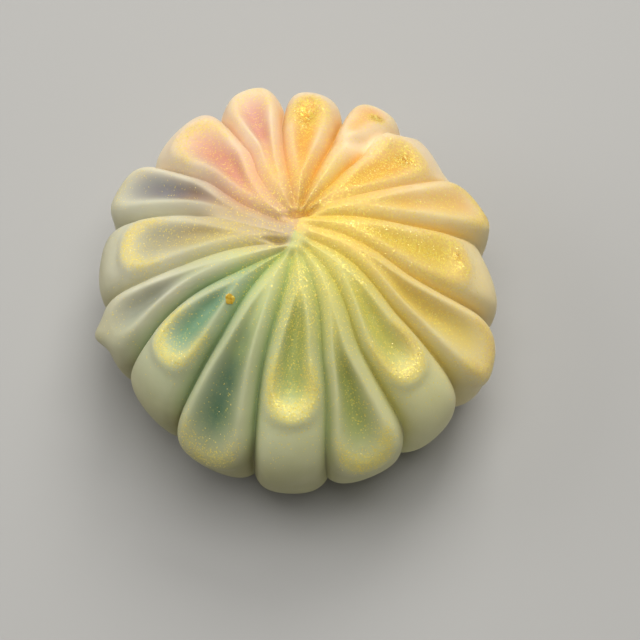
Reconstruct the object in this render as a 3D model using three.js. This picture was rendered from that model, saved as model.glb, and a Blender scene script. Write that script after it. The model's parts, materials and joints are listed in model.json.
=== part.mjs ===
// A sweet of white bean paste, shaped by hand as a chrysanthemum with sixteen petals.
// Millimetres, +Z up. It sits on z = 0, with the middle of its outline on the z axis.
//
// The body is a flattened dome. A place on it has two numbers: its petal with a share across
// that petal, from -1 at the left groove to 1 at the right one, and its angle down from the
// crown, which is 0 at the crown, 90 at the girth and 180 where the foot meets the table.
// Azimuths are degrees clockwise from +Y, seen from above.
import * as THREE from "three";

// Driving dimensions of the dome
const HALF_WIDTH = 23.7;
const HALF_DEPTH_NEAR = 24.2;
const HALF_DEPTH_FAR = 25.1;
const GIRTH_HEIGHT = 12.6;
const CROWN_HEIGHT = 26.9;
const FOOT_SHARE = 0.72;
const SHOULDER_FLAT = 1.0;
const CROWN_SINK = 0.9;
const CROWN_SINK_RADIUS = 5.0;

// Grooves, pressed with the edge of a wedge
const PETALS = 16;
const PITCH = 360 / PETALS;
const FIRST_AZIMUTH = -5.5;
const LOBE_DEPTH = 1.4;
const LOBE_ROUNDNESS = 2.4;
const GROOVE_DEPTH = 1.2;
const GROOVE_WIDTH = 0.85;
const GROOVE_BOTTOM = 0.2;
const DEEPEST_ANGLE = 65;
const LOBES_BEGIN = 5;
const WEDGE_DEEPENS = [10, 65];
const CROWN_SHARE = 0.6;
const BITE_ALONG = [0.1, 1.8];
const BITE_RADIUS = [0.6, 2.6];

// Hollows, pressed with the end of a round stick
const CAP_FULLNESS = 1.5;
const HOLLOW_END = 11;
const HOLLOW_POWER = 1.7;
const HOLLOW_TOP = 10;
const LIP_SHARE = 0.27;
const LIP_PLACE = 1.3;
const LIP_WIDTH = 0.35;

// Each petal clockwise from the far side: how far its left groove leans off an even spacing,
// bows on its way out and is twisted near the crown (degrees), how strongly that groove is cut,
// where the hollow ends
// and over how long it rises to that end (degrees down from the crown), the hollow's depth and
// the width of its rim (mm), how far it is pressed aside (share of half a petal), how far the
// petal swells out in its middle and how much further its right side swells than its left (mm).
const PETAL_ROWS = [
  [2.3, -3.4, -1.5, 1.2, 62, 18, 1.0, 1.2, -0.05, 0.0, -0.5],
  [1.0, 1.5, 0.0, 1.6, 78, 18, 0.4, 1.1, 0.0, -0.1, -0.2],
  [1.0, -2.0, 3.5, 1.3, 59, 15, 0.65, 1.0, 0.1, -0.9, -0.8],
  [1.4, 1.9, 2.0, 0.6, 82, 20, 0.9, 1.3, 0.0, 0.1, 0.8],
  [1.5, 1.2, -0.5, 0.85, 58, 15, 0.7, 1.2, 0.0, -0.35, 1.3],
  [1.7, 3.6, -6.6, 0.8, 85, 28, 1.8, 1.2, 0.0, 1.0, 0.9],
  [-0.6, -1.5, -10.5, 0.9, 55, 15, 1.2, 1.3, 0.05, 0.5, 0.0],
  [-4.3, 2.0, -12.5, 0.9, 83, 28, 1.9, 1.5, 0.13, 0.3, 0.0],
  [-2.4, -4.6, -10.0, 0.9, 54, 15, 1.4, 1.5, 0.0, 0.6, 0.0],
  [-2.8, 2.7, -2.8, 1.2, 86, 30, 2.1, 1.4, 0.0, 0.0, 0.0],
  [1.2, 1.6, 6.0, 1.4, 55, 15, 1.3, 1.3, 0.0, -0.7, 0.0],
  [1.8, 6.1, -3.3, 1.3, 76, 26, 1.3, 1.3, 0.0, -0.3, 0.0],
  [0.8, 0.0, 1.8, 0.8, 59, 15, 1.1, 1.2, 0.0, -0.2, 0.0],
  [1.5, 3.1, -5.0, 0.9, 82, 30, 1.6, 1.3, 0.0, 0.3, 0.0],
  [-0.7, 0.0, -10.2, 1.0, 63, 20, 1.4, 1.2, 0.0, 0.0, 0.7],
  [2.4, -0.7, -11.5, 0.9, 72, 22, 1.6, 1.2, 0.0, 0.6, 0.3],
];

// Two grooves fade out on part of their way, where their petals run into each other
const MERGED_GROOVES = [
  { groove: 2, from: [36, 50], to: [54, 76] },
  { groove: 13, from: [-2, -1], to: [20, 34] },
];

// The grooves run out from two places beside the crown, each with a small slanting pit
const FAR_START = new THREE.Vector2(0.3, 3.1);
const NEAR_START = new THREE.Vector2(-0.2, -0.6);
const START_SPLIT_AZIMUTH = 35;
const START_SPLIT_SHARPNESS = 1.8;
const RINGS_MIDDLE = new THREE.Vector2(0.05, 1.25);
const RINGS_SETTLED = [3, 15];
const TWIST_FADES = [4, 15];
const FIRST_CROSSING = 1.25;
const FAR_PIT = { x: 0.7, y: 3.35, halfX: 1.7, halfY: 0.45, tilt: 13, depth: 2.0 };
const NEAR_PIT = { x: -1.9, y: -0.1, halfX: 1.4, halfY: 0.3, tilt: -9, depth: 0.8 };

// One petal was folded under its own rounded head. On the shoulder, where the fold is, a
// degree down from the crown is this many mm.
const MM_PER_DEGREE = 0.38;
const FOLD = {
  petal: 1,
  angle: 39.5,
  side: 0.75,
  corner: 4.0,
  turnUp: 1.2,
  depth: 1.25,
  neckWidth: 1.8,
  headWidth: 0.8,
  rise: 0.4,
};

// One petal tip was pinched into a small point
const PINCH = { petal: 11, across: 0.1, angle: 86, height: 1.1, halfAcross: 0.3, halfAngle: 6 };

// Mesh: the places across a petal, and the rings down from the crown
const ACROSS = [-1, -0.9, -0.73, -0.5, -0.25, 0, 0.25, 0.5, 0.73, 0.9];
const RING_ANGLES = [
  3.5, 6.5, 9.5, 13, 17, 22, 27, 32, 37, 41, 45, 49, 53, 57, 61, 65, 69,
  73, 77, 81, 85, 89, 94, 100, 107, 115, 124, 134, 145, 157, 169, 180,
];

const PASTE_COLOUR = 0xd9cf94;

const { degToRad: radians, lerp, smoothstep: smooth } = THREE.MathUtils;
const bell = (x) => Math.exp(-x * x);

function petalRow(index) {
  const row = PETAL_ROWS[(index + PETALS) % PETALS];
  const [lean, bow, twist, cut, reach, cap, depth, rim, aside, swell, skew] = row;
  return { lean, bow, twist, cut, reach, cap, depth, rim, aside, swell, skew };
}

// The smallest rings are centred between the two pits, and the wide ones on the sweet's axis
function ringMiddle(ringRadius) {
  return RINGS_MIDDLE.clone().multiplyScalar(1 - smooth(ringRadius, ...RINGS_SETTLED));
}

// The azimuth, in degrees, at which the groove left of a petal crosses a ring, and how much
// of its depth the wedge has reached there
function grooveCrossing(petal, ringRadius) {
  const row = petalRow(petal);
  const aim = FIRST_AZIMUTH + PITCH * petal + row.lean;
  const far = 0.5 + 0.5 * Math.tanh(START_SPLIT_SHARPNESS * Math.cos(radians(aim - START_SPLIT_AZIMUTH)));
  const start = NEAR_START.clone().lerp(FAR_START, far).sub(ringMiddle(ringRadius));
  const heading = new THREE.Vector2(Math.sin(radians(aim)), Math.cos(radians(aim)));
  const along = start.dot(heading);
  const reached = Math.max(ringRadius, FIRST_CROSSING * start.length());
  const run = Math.sqrt(along * along + reached * reached - start.lengthSq()) - along;
  const end = start.clone().addScaledVector(heading, run);
  const turned = Math.atan2(end.cross(heading), end.dot(heading));
  const bow = row.bow * Math.sin(Math.PI * Math.min(ringRadius / HALF_WIDTH, 1));
  const twist = row.twist * (1 - smooth(ringRadius, ...TWIST_FADES));
  const azimuth = aim + THREE.MathUtils.radToDeg(turned) + bow + twist;
  return { azimuth, bite: smooth(run, ...BITE_ALONG) * smooth(ringRadius, ...BITE_RADIUS) };
}

function outlineRadius(azimuth) {
  const halfDepth = Math.cos(azimuth) > 0 ? HALF_DEPTH_FAR : HALF_DEPTH_NEAR;
  return 1 / Math.hypot(Math.sin(azimuth) / HALF_WIDTH, Math.cos(azimuth) / halfDepth);
}

// The plain dome: the share of the outline's radius, the height and the direction outwards
function dome(angle, outline) {
  const down = radians(angle);
  if (angle <= 90) {
    const rise = CROWN_HEIGHT - GIRTH_HEIGHT;
    const normal = new THREE.Vector2(Math.sin(down) / outline, Math.cos(down) / rise).normalize();
    return { radius: outline * Math.sin(down), height: GIRTH_HEIGHT + rise * Math.cos(down), normal };
  }
  const below = down - Math.PI / 2;
  const share = FOOT_SHARE + (1 - FOOT_SHARE) * Math.cos(below);
  const height = angle < 180 ? GIRTH_HEIGHT * (1 - Math.sin(below)) : 0;
  return { radius: outline * share, height, normal: new THREE.Vector2(1, 0) };
}

function grooveStrength(groove, angle) {
  let cut = petalRow(groove).cut;
  for (const merged of MERGED_GROOVES) {
    if (merged.groove === groove) cut *= 1 - smooth(angle, ...merged.from) * (1 - smooth(angle, ...merged.to));
  }
  return cut;
}

// How deep the grooves are: nothing at the crown, deepest on the shoulder, shallow at the foot
function grooveRelief(across, angle, halfPetal, cut, bite) {
  const fade = smooth(angle, DEEPEST_ANGLE, DEEPEST_ANGLE + 100);
  const lobe = LOBE_DEPTH * smooth(angle, LOBES_BEGIN, DEEPEST_ANGLE) * (1 - 0.8 * fade);
  const pressed = lerp(smooth(angle, ...WEDGE_DEEPENS), bite, CROWN_SHARE);
  const wedge = GROOVE_DEPTH * pressed * (1 - 0.75 * fade);
  const edge = Math.abs(across);
  const round = 1 - (1 - edge ** LOBE_ROUNDNESS) ** (1 / LOBE_ROUNDNESS);
  const toGroove = Math.hypot((1 - edge) * halfPetal, GROOVE_BOTTOM) - GROOVE_BOTTOM;
  return -cut * (lobe * round + wedge * Math.exp(-toGroove / GROOVE_WIDTH));
}

// How far inside the folded petal's head a place is, in mm: the crease is where this is 0
function foldDistance(across, angle, halfPetal) {
  const left = smooth(-across, 0.3, 1);
  const onwards = (angle - FOLD.angle) * MM_PER_DEGREE - FOLD.turnUp * left;
  const inwards = (lerp(FOLD.side, 1, smooth(angle, 50, 74)) - across) * halfPetal;
  return FOLD.corner - Math.hypot(Math.max(FOLD.corner - onwards, 0), Math.max(FOLD.corner - inwards, 0));
}

function foldRelief(petal, across, angle, halfPetal) {
  if (petal !== FOLD.petal) return 0;
  const inside = foldDistance(across, angle, halfPetal);
  const width = lerp(FOLD.neckWidth, FOLD.headWidth, smooth(inside, -0.5, 0.5));
  const crease = Math.exp(-Math.sqrt((inside / width) ** 2 + 0.1));
  const lasting = 1 - smooth(angle, 60, 100);
  const room = 1 - Math.max(-across, 0) ** 4;
  return lasting * room * (FOLD.rise * smooth(inside, -0.8, 0.8) - FOLD.depth * crease);
}

// The spoon-shaped hollow, with paste pushed up into a lip round its outer end
function hollowRelief(petal, across, angle, halfPetal) {
  const { reach, cap, depth, rim, aside } = petalRow(petal);
  const halfHollow = Math.max(halfPetal - rim, 0.02);
  const capStart = reach - cap;
  const sideways = ((across - aside) * halfPetal) / halfHollow;
  const onwards = (Math.max(angle - capStart, 0) / cap) ** CAP_FULLNESS;
  const edge = Math.hypot(sideways, onwards);
  const grow = 0.35 + 0.65 * smooth(angle, HOLLOW_TOP, capStart);
  const room = smooth(halfPetal - rim, 0, 1.6);
  const opened = petal === FOLD.petal ? smooth(foldDistance(across, angle, halfPetal), 0.5, 3) : 1;
  const bowl = Math.max(1 - edge * edge, 0) ** HOLLOW_POWER * grow * room * opened;
  const nearEnd = smooth(angle - (reach - HOLLOW_END), -12, 2) * (1 - across ** 4);
  return depth * (LIP_SHARE * bell((edge - LIP_PLACE) / LIP_WIDTH) * nearEnd - bowl);
}

function pitRelief(pit, x, y) {
  const turned = new THREE.Vector2(x - pit.x, y - pit.y).rotateAround(new THREE.Vector2(), -radians(pit.tilt));
  return -pit.depth * bell(Math.hypot(turned.x / pit.halfX, turned.y / pit.halfY));
}

function crownRelief(x, y, angle) {
  const sink = CROWN_SINK * bell(Math.hypot(x, y) / CROWN_SINK_RADIUS);
  const flat = SHOULDER_FLAT * Math.sin(2 * radians(Math.min(angle, 90))) ** 2;
  return pitRelief(FAR_PIT, x, y) + pitRelief(NEAR_PIT, x, y) - sink - flat;
}

function pinchRelief(petal, across, angle) {
  if (petal !== PINCH.petal) return 0;
  const sideways = (across - PINCH.across) / PINCH.halfAcross;
  return PINCH.height * bell(Math.hypot(sideways, (angle - PINCH.angle) / PINCH.halfAngle));
}

function swellRelief(petal, across, angle) {
  const { swell, skew } = petalRow(petal);
  const middle = swell * (1 - Math.abs(across) ** 3);
  const sideways = skew * across * (1 - across ** 4);
  return (middle + sideways) * smooth(angle, 45, 80);
}

// The finished surface: the dome with its grooves, hollows, fold, pits and pinch
function surfacePoint(petal, across, angle) {
  const ringRadius = dome(angle, HALF_WIDTH).radius;
  const left = grooveCrossing(petal, ringRadius);
  const right = grooveCrossing(petal + 1, ringRadius);
  const share = (across + 1) / 2;
  const azimuth = radians(lerp(left.azimuth, right.azimuth, share));
  const bite = lerp(left.bite, right.bite, share);
  const cut = lerp(grooveStrength(petal, angle), grooveStrength((petal + 1) % PETALS, angle), share);
  const plain = dome(angle, outlineRadius(azimuth));
  const middle = ringMiddle(ringRadius);
  const halfPetal = 0.5 * plain.radius * radians(right.azimuth - left.azimuth);
  const plainX = plain.radius * Math.sin(azimuth) + middle.x;
  const plainY = plain.radius * Math.cos(azimuth) + middle.y;
  const offset =
    grooveRelief(across, angle, halfPetal, cut, bite) +
    hollowRelief(petal, across, angle, halfPetal) +
    crownRelief(plainX, plainY, angle) +
    pinchRelief(petal, across, angle) +
    foldRelief(petal, across, angle, halfPetal) +
    swellRelief(petal, across, angle);
  const outwards = plain.normal.x * offset;
  const height = plain.height + plain.normal.y * offset;
  return [plainX + outwards * Math.sin(azimuth), plainY + outwards * Math.cos(azimuth), height];
}

// One closed skin: the crown point, the rings of the surface and a flat foot
function sweetGeometry() {
  const columns = [];
  for (let petal = 0; petal < PETALS; petal++) {
    for (const across of ACROSS) columns.push({ petal, across });
  }
  const crownHeight = CROWN_HEIGHT + crownRelief(RINGS_MIDDLE.x, RINGS_MIDDLE.y, 0);
  const points = [RINGS_MIDDLE.x, RINGS_MIDDLE.y, crownHeight];
  for (const angle of RING_ANGLES) {
    for (const { petal, across } of columns) points.push(...surfacePoint(petal, across, angle));
  }
  const footCentre = points.length / 3;
  points.push(0, 0, 0);

  const triangles = [];
  const count = columns.length;
  const at = (ring, column) => 1 + ring * count + (column % count);
  for (let column = 0; column < count; column++) {
    triangles.push(0, at(0, column + 1), at(0, column));
    for (let ring = 0; ring < RING_ANGLES.length - 1; ring++) {
      const upper = [at(ring, column), at(ring, column + 1)];
      const lower = [at(ring + 1, column), at(ring + 1, column + 1)];
      triangles.push(upper[0], upper[1], lower[1]);
      triangles.push(upper[0], lower[1], lower[0]);
    }
    const last = RING_ANGLES.length - 1;
    triangles.push(footCentre, at(last, column), at(last, column + 1));
  }

  const geometry = new THREE.BufferGeometry();
  geometry.setAttribute("position", new THREE.Float32BufferAttribute(points, 3));
  geometry.setIndex(triangles);
  geometry.computeBoundingBox();
  const middle = geometry.boundingBox.getCenter(new THREE.Vector3());
  geometry.translate(-middle.x, -middle.y, 0);
  geometry.computeVertexNormals();
  return geometry;
}

const sweet = new THREE.Mesh(
  sweetGeometry(),
  new THREE.MeshStandardMaterial({ color: PASTE_COLOUR, roughness: 0.55, metalness: 0 }),
);
sweet.name = "nerikiri_body";

const wagashi = new THREE.Group();
wagashi.add(sweet);

export default wagashi;
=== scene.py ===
# %% [markdown]
# # A chrysanthemum sweet of bean paste
#
# Nerikiri is a soft paste of white beans. The maker tints a few lumps of it, rolls them into one ball so
# that the colours run into each other, presses sixteen grooves into it with a wedge, and hollows each
# petal with the round end of a stick. Gold dust is brushed over it at the end.
#
# Everything here is in metres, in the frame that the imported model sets. The shapes are worked out in
# millimetres, because a maker's hands work in millimetres, and are turned into metres once at the end.

# %% Load the frame
import json
import math

import bmesh
import bpy
from mathutils import Matrix, Vector, noise

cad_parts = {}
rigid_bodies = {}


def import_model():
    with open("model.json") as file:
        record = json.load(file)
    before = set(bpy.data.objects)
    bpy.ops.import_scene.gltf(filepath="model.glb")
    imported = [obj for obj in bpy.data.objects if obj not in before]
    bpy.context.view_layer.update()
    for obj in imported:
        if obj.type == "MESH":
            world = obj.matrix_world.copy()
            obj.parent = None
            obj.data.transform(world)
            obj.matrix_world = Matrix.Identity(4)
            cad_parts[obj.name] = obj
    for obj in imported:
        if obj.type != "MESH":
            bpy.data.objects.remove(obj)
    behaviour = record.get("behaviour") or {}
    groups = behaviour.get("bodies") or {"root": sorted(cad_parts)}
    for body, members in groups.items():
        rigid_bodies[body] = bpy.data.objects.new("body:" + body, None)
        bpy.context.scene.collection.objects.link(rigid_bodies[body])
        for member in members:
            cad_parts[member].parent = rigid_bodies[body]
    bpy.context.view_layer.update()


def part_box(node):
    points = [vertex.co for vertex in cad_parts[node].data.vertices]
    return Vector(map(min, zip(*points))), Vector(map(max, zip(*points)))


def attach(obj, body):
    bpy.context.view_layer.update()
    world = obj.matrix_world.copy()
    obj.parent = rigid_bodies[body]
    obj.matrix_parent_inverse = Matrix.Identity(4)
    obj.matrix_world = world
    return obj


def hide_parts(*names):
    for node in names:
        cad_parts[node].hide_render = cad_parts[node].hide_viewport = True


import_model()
BODY_NODE = "nerikiri_body"
MM = 0.001
body_low, body_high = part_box(BODY_NODE)
print("the packed sweet, in mm:", [round((high - low) / MM, 1) for low, high in zip(body_low, body_high)])

# %% [markdown]
# ## A bench for nodes
#
# A shape or a finish that follows a rule is a sum in nodes. Adding the nodes one by one hides the sum, so
# `Reading` wraps one socket and lets Python's own signs write it: `1 - edge * edge` adds the two Math
# nodes. `Bench` adds every other kind of node in one way. Both work in a geometry tree and in a material.


# %% A number that varies over a surface
class Reading:
    """One socket's number at every point. Arithmetic on it adds Math nodes to the same tree."""

    def __init__(self, bench, socket):
        self.bench = bench
        self.socket = socket

    def __add__(self, other):
        return self.bench.math("ADD", self, other)

    __radd__ = __add__

    def __sub__(self, other):
        return self.bench.math("SUBTRACT", self, other)

    def __rsub__(self, other):
        return self.bench.math("SUBTRACT", other, self)

    def __mul__(self, other):
        return self.bench.math("MULTIPLY", self, other)

    __rmul__ = __mul__

    def __truediv__(self, other):
        return self.bench.math("DIVIDE", self, other)

    def __rtruediv__(self, other):
        return self.bench.math("DIVIDE", other, self)

    def __pow__(self, other):
        return self.bench.math("POWER", self, other)

    def __neg__(self):
        return self.bench.math("MULTIPLY", self, -1.0)

    def at_least(self, other):
        return self.bench.math("MAXIMUM", self, other)

    def at_most(self, other):
        return self.bench.math("MINIMUM", self, other)

    def size(self):
        return self.bench.math("ABSOLUTE", self)

    def root(self):
        return self.bench.math("SQRT", self)

    def floor(self):
        return self.bench.math("FLOOR", self)

    def smooth(self, start, end):
        """0 before start and 1 after end, with an even curve between."""
        sockets = {"Value": self, "From Min": start, "From Max": end}
        node = self.bench.add("ShaderNodeMapRange", {"interpolation_type": "SMOOTHSTEP"}, sockets)
        return Reading(self.bench, node.outputs["Result"])

    def bell(self):
        """1 where the number is 0, falling away on both sides."""
        return self.bench.math("EXPONENT", -(self * self))

    def sine(self):
        return self.bench.math("SINE", self * math.radians(1))

    def cosine(self):
        return self.bench.math("COSINE", self * math.radians(1))


# %% The bench itself
class Bench:
    """A node tree, with one method that adds any node."""

    def __init__(self, tree):
        self.tree = tree

    def plug(self, slot, value):
        if isinstance(value, Reading):
            self.tree.links.new(value.socket, slot)
        elif isinstance(value, bpy.types.NodeSocket):
            self.tree.links.new(value, slot)
        else:
            slot.default_value = value

    def add(self, kind, settings=None, sockets=None):
        node = self.tree.nodes.new(kind)
        for name, value in (settings or {}).items():
            if name == "stops":
                self.set_stops(node.color_ramp, value)
            else:
                setattr(node, name, value)
        for name, value in (sockets or {}).items():
            self.plug(node.inputs[name], value)
        return node

    def set_stops(self, ramp, stops):
        while len(ramp.elements) > 1:
            ramp.elements.remove(ramp.elements[-1])
        for number, (place, colour) in enumerate(stops):
            stop = ramp.elements.new(place) if number else ramp.elements[0]
            stop.position = place
            stop.color = (*colour, 1.0)

    def math(self, operation, *values):
        node = self.add("ShaderNodeMath", {"operation": operation})
        for slot, value in zip(node.inputs, values):
            self.plug(slot, value)
        return Reading(self, node.outputs[0])

    def between(self, share, low, high):
        """low where share is 0, high where it is 1."""
        return low + (high - low) * share

    def is_petal(self, index, wanted):
        """1 in the wanted petal and 0 in the others. Indices are whole, so half a petal is near enough."""
        return self.math("COMPARE", index, wanted, 0.5)


print("bench ready")

# %% [markdown]
# ## The sweet's sizes
#
# The body is a flattened dome. A place on it has two numbers, as a place on a globe does: which petal it
# is in, with a share from -1 at that petal's left groove to 1 at its right one, and an angle down from
# the crown, which is 90 at the widest girth and 180 where the foot meets the table.
# Azimuths are degrees clockwise from +Y, seen from above.
#
# Sizes are in millimetres and angles in degrees. A pair such as `WEDGE_DEEPENS` says where something
# begins and where it is complete, with an even curve between. A pair such as `FAR_START` is a place, x
# and y.

# %% The dome
HALF_WIDTH = 23.7
HALF_DEPTH_NEAR = 24.2
HALF_DEPTH_FAR = 25.1
GIRTH_HEIGHT = 12.6
CROWN_HEIGHT = 26.9
FOOT_SHARE = 0.72
SHOULDER_FLAT = 1.0
CROWN_SINK = 0.9
CROWN_SINK_RADIUS = 5.0
print("girth", 2 * HALF_WIDTH, "mm, crown", CROWN_HEIGHT, "mm")

# %% [markdown]
# A groove is two shapes in one. The wedge leaves a narrow cut, and the paste beside it rounds over into a
# broad lobe. Both are deepest on the shoulder and grow shallow towards the foot. Two of the sixteen fade
# out on part of their way, where the maker's fingers smoothed two petals into each other.
#
# The grooves don't meet in one point. They run out from two places beside the crown, the far half from
# one and the near half from the other, and beside each of them is a small slanting pit.

# %% The grooves
PETAL_COUNT = 16
PITCH = 360 / PETAL_COUNT
FIRST_AZIMUTH = -5.5
LOBE_DEPTH = 1.4
LOBE_ROUNDNESS = 2.4
LOBES_BEGIN = 5
LOBE_FADE = 0.8
GROOVE_DEPTH = 1.2
GROOVE_WIDTH = 0.85
GROOVE_BOTTOM = 0.2
WEDGE_DEEPENS = (10, 65)
WEDGE_FADE = 0.75
CROWN_SHARE = 0.6
DEEPEST_ANGLE = 65
FADE_SPAN = 100
MERGED_GROOVES = [
    {"groove": 2, "from": (36, 50), "to": (54, 76)},
    {"groove": 13, "from": (-2, -1), "to": (20, 34)},
]

FAR_START = (0.3, 3.1)
NEAR_START = (-0.2, -0.6)
START_SPLIT_AZIMUTH = 35
START_SPLIT_SHARPNESS = 1.8
RINGS_MIDDLE = (0.05, 1.25)
RINGS_SETTLED = (3, 15)
TWIST_FADES = (4, 15)
FIRST_CROSSING = 1.25
BITE_ALONG = (0.1, 1.8)
BITE_RADIUS = (0.6, 2.6)
FAR_PIT = {"x": 0.7, "y": 3.35, "half_x": 1.7, "half_y": 0.45, "tilt": 13, "depth": 2.0}
NEAR_PIT = {"x": -1.9, "y": -0.1, "half_x": 1.4, "half_y": 0.3, "tilt": -9, "depth": 0.8}
print(PETAL_COUNT, "grooves,", PITCH, "degrees apart before they lean")

# %% [markdown]
# A hollow is shaped like the bowl of a spoon. The round end of the stick pushes paste ahead of it, which
# stays as a low lip round the hollow's outer end, and the gold brush catches on that edge.

# %% The hollows
CAP_FULLNESS = 1.5
HOLLOW_END = 11
HOLLOW_POWER = 1.7
HOLLOW_TOP = 10
HOLLOW_AT_TOP = 0.35
HOLLOW_ROOM = 1.6
LEAST_HALF_HOLLOW = 0.02
LIP_SHARE = 0.27
LIP_PLACE = 1.3
LIP_WIDTH = 0.35
LIP_RISES = (-12, 2)
BRUSHED_PLACE = 1.0
BRUSHED_WIDTH = 0.3
print("lip", LIP_SHARE, "of the hollow's depth")

# %% [markdown]
# Two petals have a form of their own. One was folded under its own rounded head, which leaves a crease
# with a small raised head beyond it. The tip of another was pinched into a point. On the shoulder, where
# the fold is, a degree down from the crown is `MM_PER_DEGREE` long.

# %% The fold and the pinch
MM_PER_DEGREE = 0.38
FOLD = {
    "petal": 1,
    "angle": 39.5,
    "side": 0.75,
    "corner": 4.0,
    "turn_up": 1.2,
    "turns_up": (0.3, 1.0),
    "squares_off": (50, 74),
    "depth": 1.25,
    "neck_width": 1.8,
    "head_width": 0.8,
    "neck_ends": (-0.5, 0.5),
    "crease_rounding": 0.1,
    "rise": 0.4,
    "head_rises": (-0.8, 0.8),
    "fades": (60, 100),
    "hollow_opens": (0.5, 3.0),
}
PINCH = {"petal": 11, "across": 0.1, "angle": 86, "height": 1.1, "half_across": 0.3, "half_angle": 6}
print("folded petal", FOLD["petal"], "and pinched petal", PINCH["petal"])

# %% [markdown]
# ## The petals, one by one
#
# A hand presses no two petals alike. Each row is one petal, clockwise from the far side:
#
# - `lean`, `bow` and `twist` are how its left groove runs: how far it leans off an even spacing, how far it
#   bows on its way out and how far it is turned near the crown, in degrees.
# - `cut` is how strongly that groove is pressed, where 1 is the usual depth.
# - `reach` is where the hollow ends, in degrees down from the crown, and `cap` is over how many degrees the
#   hollow rises to that end.
# - `depth` is the hollow's depth and `rim` is the paste left between hollow and groove, in mm.
# - `aside` is how far the hollow is pressed off the petal's middle, as a share of half a petal.
# - `swell` is how far the petal bulges on the wall, and `skew` is how far its right side comes out there
#   while its left side draws in, in mm.
# - `gold` and `end_gold` are how much dust lies on the petal and round the end of its hollow.
#
# The rows become the points of a small card, because a geometry tree can look a petal's numbers up on
# such a card by the petal's index. Sixteen sets of tree inputs would do the same and be hard to read.

# %% The petal card
PETAL_WORDS = ("lean", "bow", "twist", "cut", "reach", "cap", "depth", "rim", "aside", "swell", "skew",
               "gold", "end_gold")
PETAL_ROWS = [
    (2.3, -3.4, -1.5, 1.2, 62, 18, 1.0, 1.2, -0.05, 0.0, -0.5, 0.5, 0.6),
    (1.0, 1.5, 0.0, 1.6, 78, 18, 0.4, 1.1, 0.0, -0.1, -0.2, 0.4, 0.3),
    (1.0, -2.0, 3.5, 1.3, 59, 15, 0.65, 1.0, 0.1, -0.9, -0.8, 0.7, 0.7),
    (1.4, 1.9, 2.0, 0.6, 82, 20, 0.9, 1.3, 0.0, 0.1, 0.8, 0.5, 0.9),
    (1.5, 1.2, -0.5, 0.85, 58, 15, 0.7, 1.2, 0.0, -0.35, 1.3, 0.8, 0.8),
    (1.7, 3.6, -6.6, 0.8, 85, 28, 1.8, 1.2, 0.0, 1.0, 0.9, 0.5, 0.8),
    (-0.6, -1.5, -10.5, 0.9, 55, 15, 1.2, 1.3, 0.05, 0.5, 0.0, 0.45, 0.9),
    (-4.3, 2.0, -12.5, 0.9, 83, 28, 1.9, 1.5, 0.13, 0.3, 0.0, 0.3, 0.8),
    (-2.4, -4.6, -10.0, 0.9, 54, 15, 1.4, 1.5, 0.0, 0.6, 0.0, 0.4, 0.95),
    (-2.8, 2.7, -2.8, 1.2, 86, 30, 2.1, 1.4, 0.0, 0.0, 0.0, 0.09, 0.5),
    (1.2, 1.6, 6.0, 1.4, 55, 15, 1.3, 1.3, 0.0, -0.7, 0.0, 0.13, 0.8),
    (1.8, 6.1, -3.3, 1.3, 76, 26, 1.3, 1.3, 0.0, -0.3, 0.0, 0.08, 0.1),
    (0.8, 0.0, 1.8, 0.8, 59, 15, 1.1, 1.2, 0.0, -0.2, 0.0, 0.26, 0.8),
    (1.5, 3.1, -5.0, 0.9, 82, 30, 1.6, 1.3, 0.0, 0.3, 0.0, 0.08, 0.25),
    (-0.7, 0.0, -10.2, 1.0, 63, 20, 1.4, 1.2, 0.0, 0.0, 0.7, 0.35, 0.5),
    (2.4, -0.7, -11.5, 0.9, 72, 22, 1.6, 1.2, 0.0, 0.6, 0.3, 0.35, 0.4),
]


def petal_card():
    mesh = bpy.data.meshes.new("petal_card")
    mesh.from_pydata([(index, 0, 0) for index in range(PETAL_COUNT)], [], [])
    for column, word in enumerate(PETAL_WORDS):
        numbers = mesh.attributes.new(word, "FLOAT", "POINT")
        numbers.data.foreach_set("value", [float(row[column]) for row in PETAL_ROWS])
    card = bpy.data.objects.new("petal_card", mesh)
    bpy.context.collection.objects.link(card)
    return card


card = petal_card()
print("petal card with", len(card.data.vertices), "petals and", ", ".join(PETAL_WORDS))

# %% [markdown]
# ## Where a groove runs
#
# A hand draws a groove as a nearly straight line from its starting place outwards. The body is built from
# rings, so the question is at which azimuth that line crosses each ring: where a ray from the start meets
# a circle. The bow and the twist are then added to that azimuth. `bite` is how far the wedge has entered
# the paste, which is not at all at the start and fully after two or three millimetres.


# %% A groove's azimuth on a ring
def ring_middle(ring_radius):
    """The smallest rings are centred between the two pits, and the wide ones on the sweet's axis."""
    drawn = 1 - ring_radius.smooth(*RINGS_SETTLED)
    return drawn * RINGS_MIDDLE[0], drawn * RINGS_MIDDLE[1]


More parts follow.
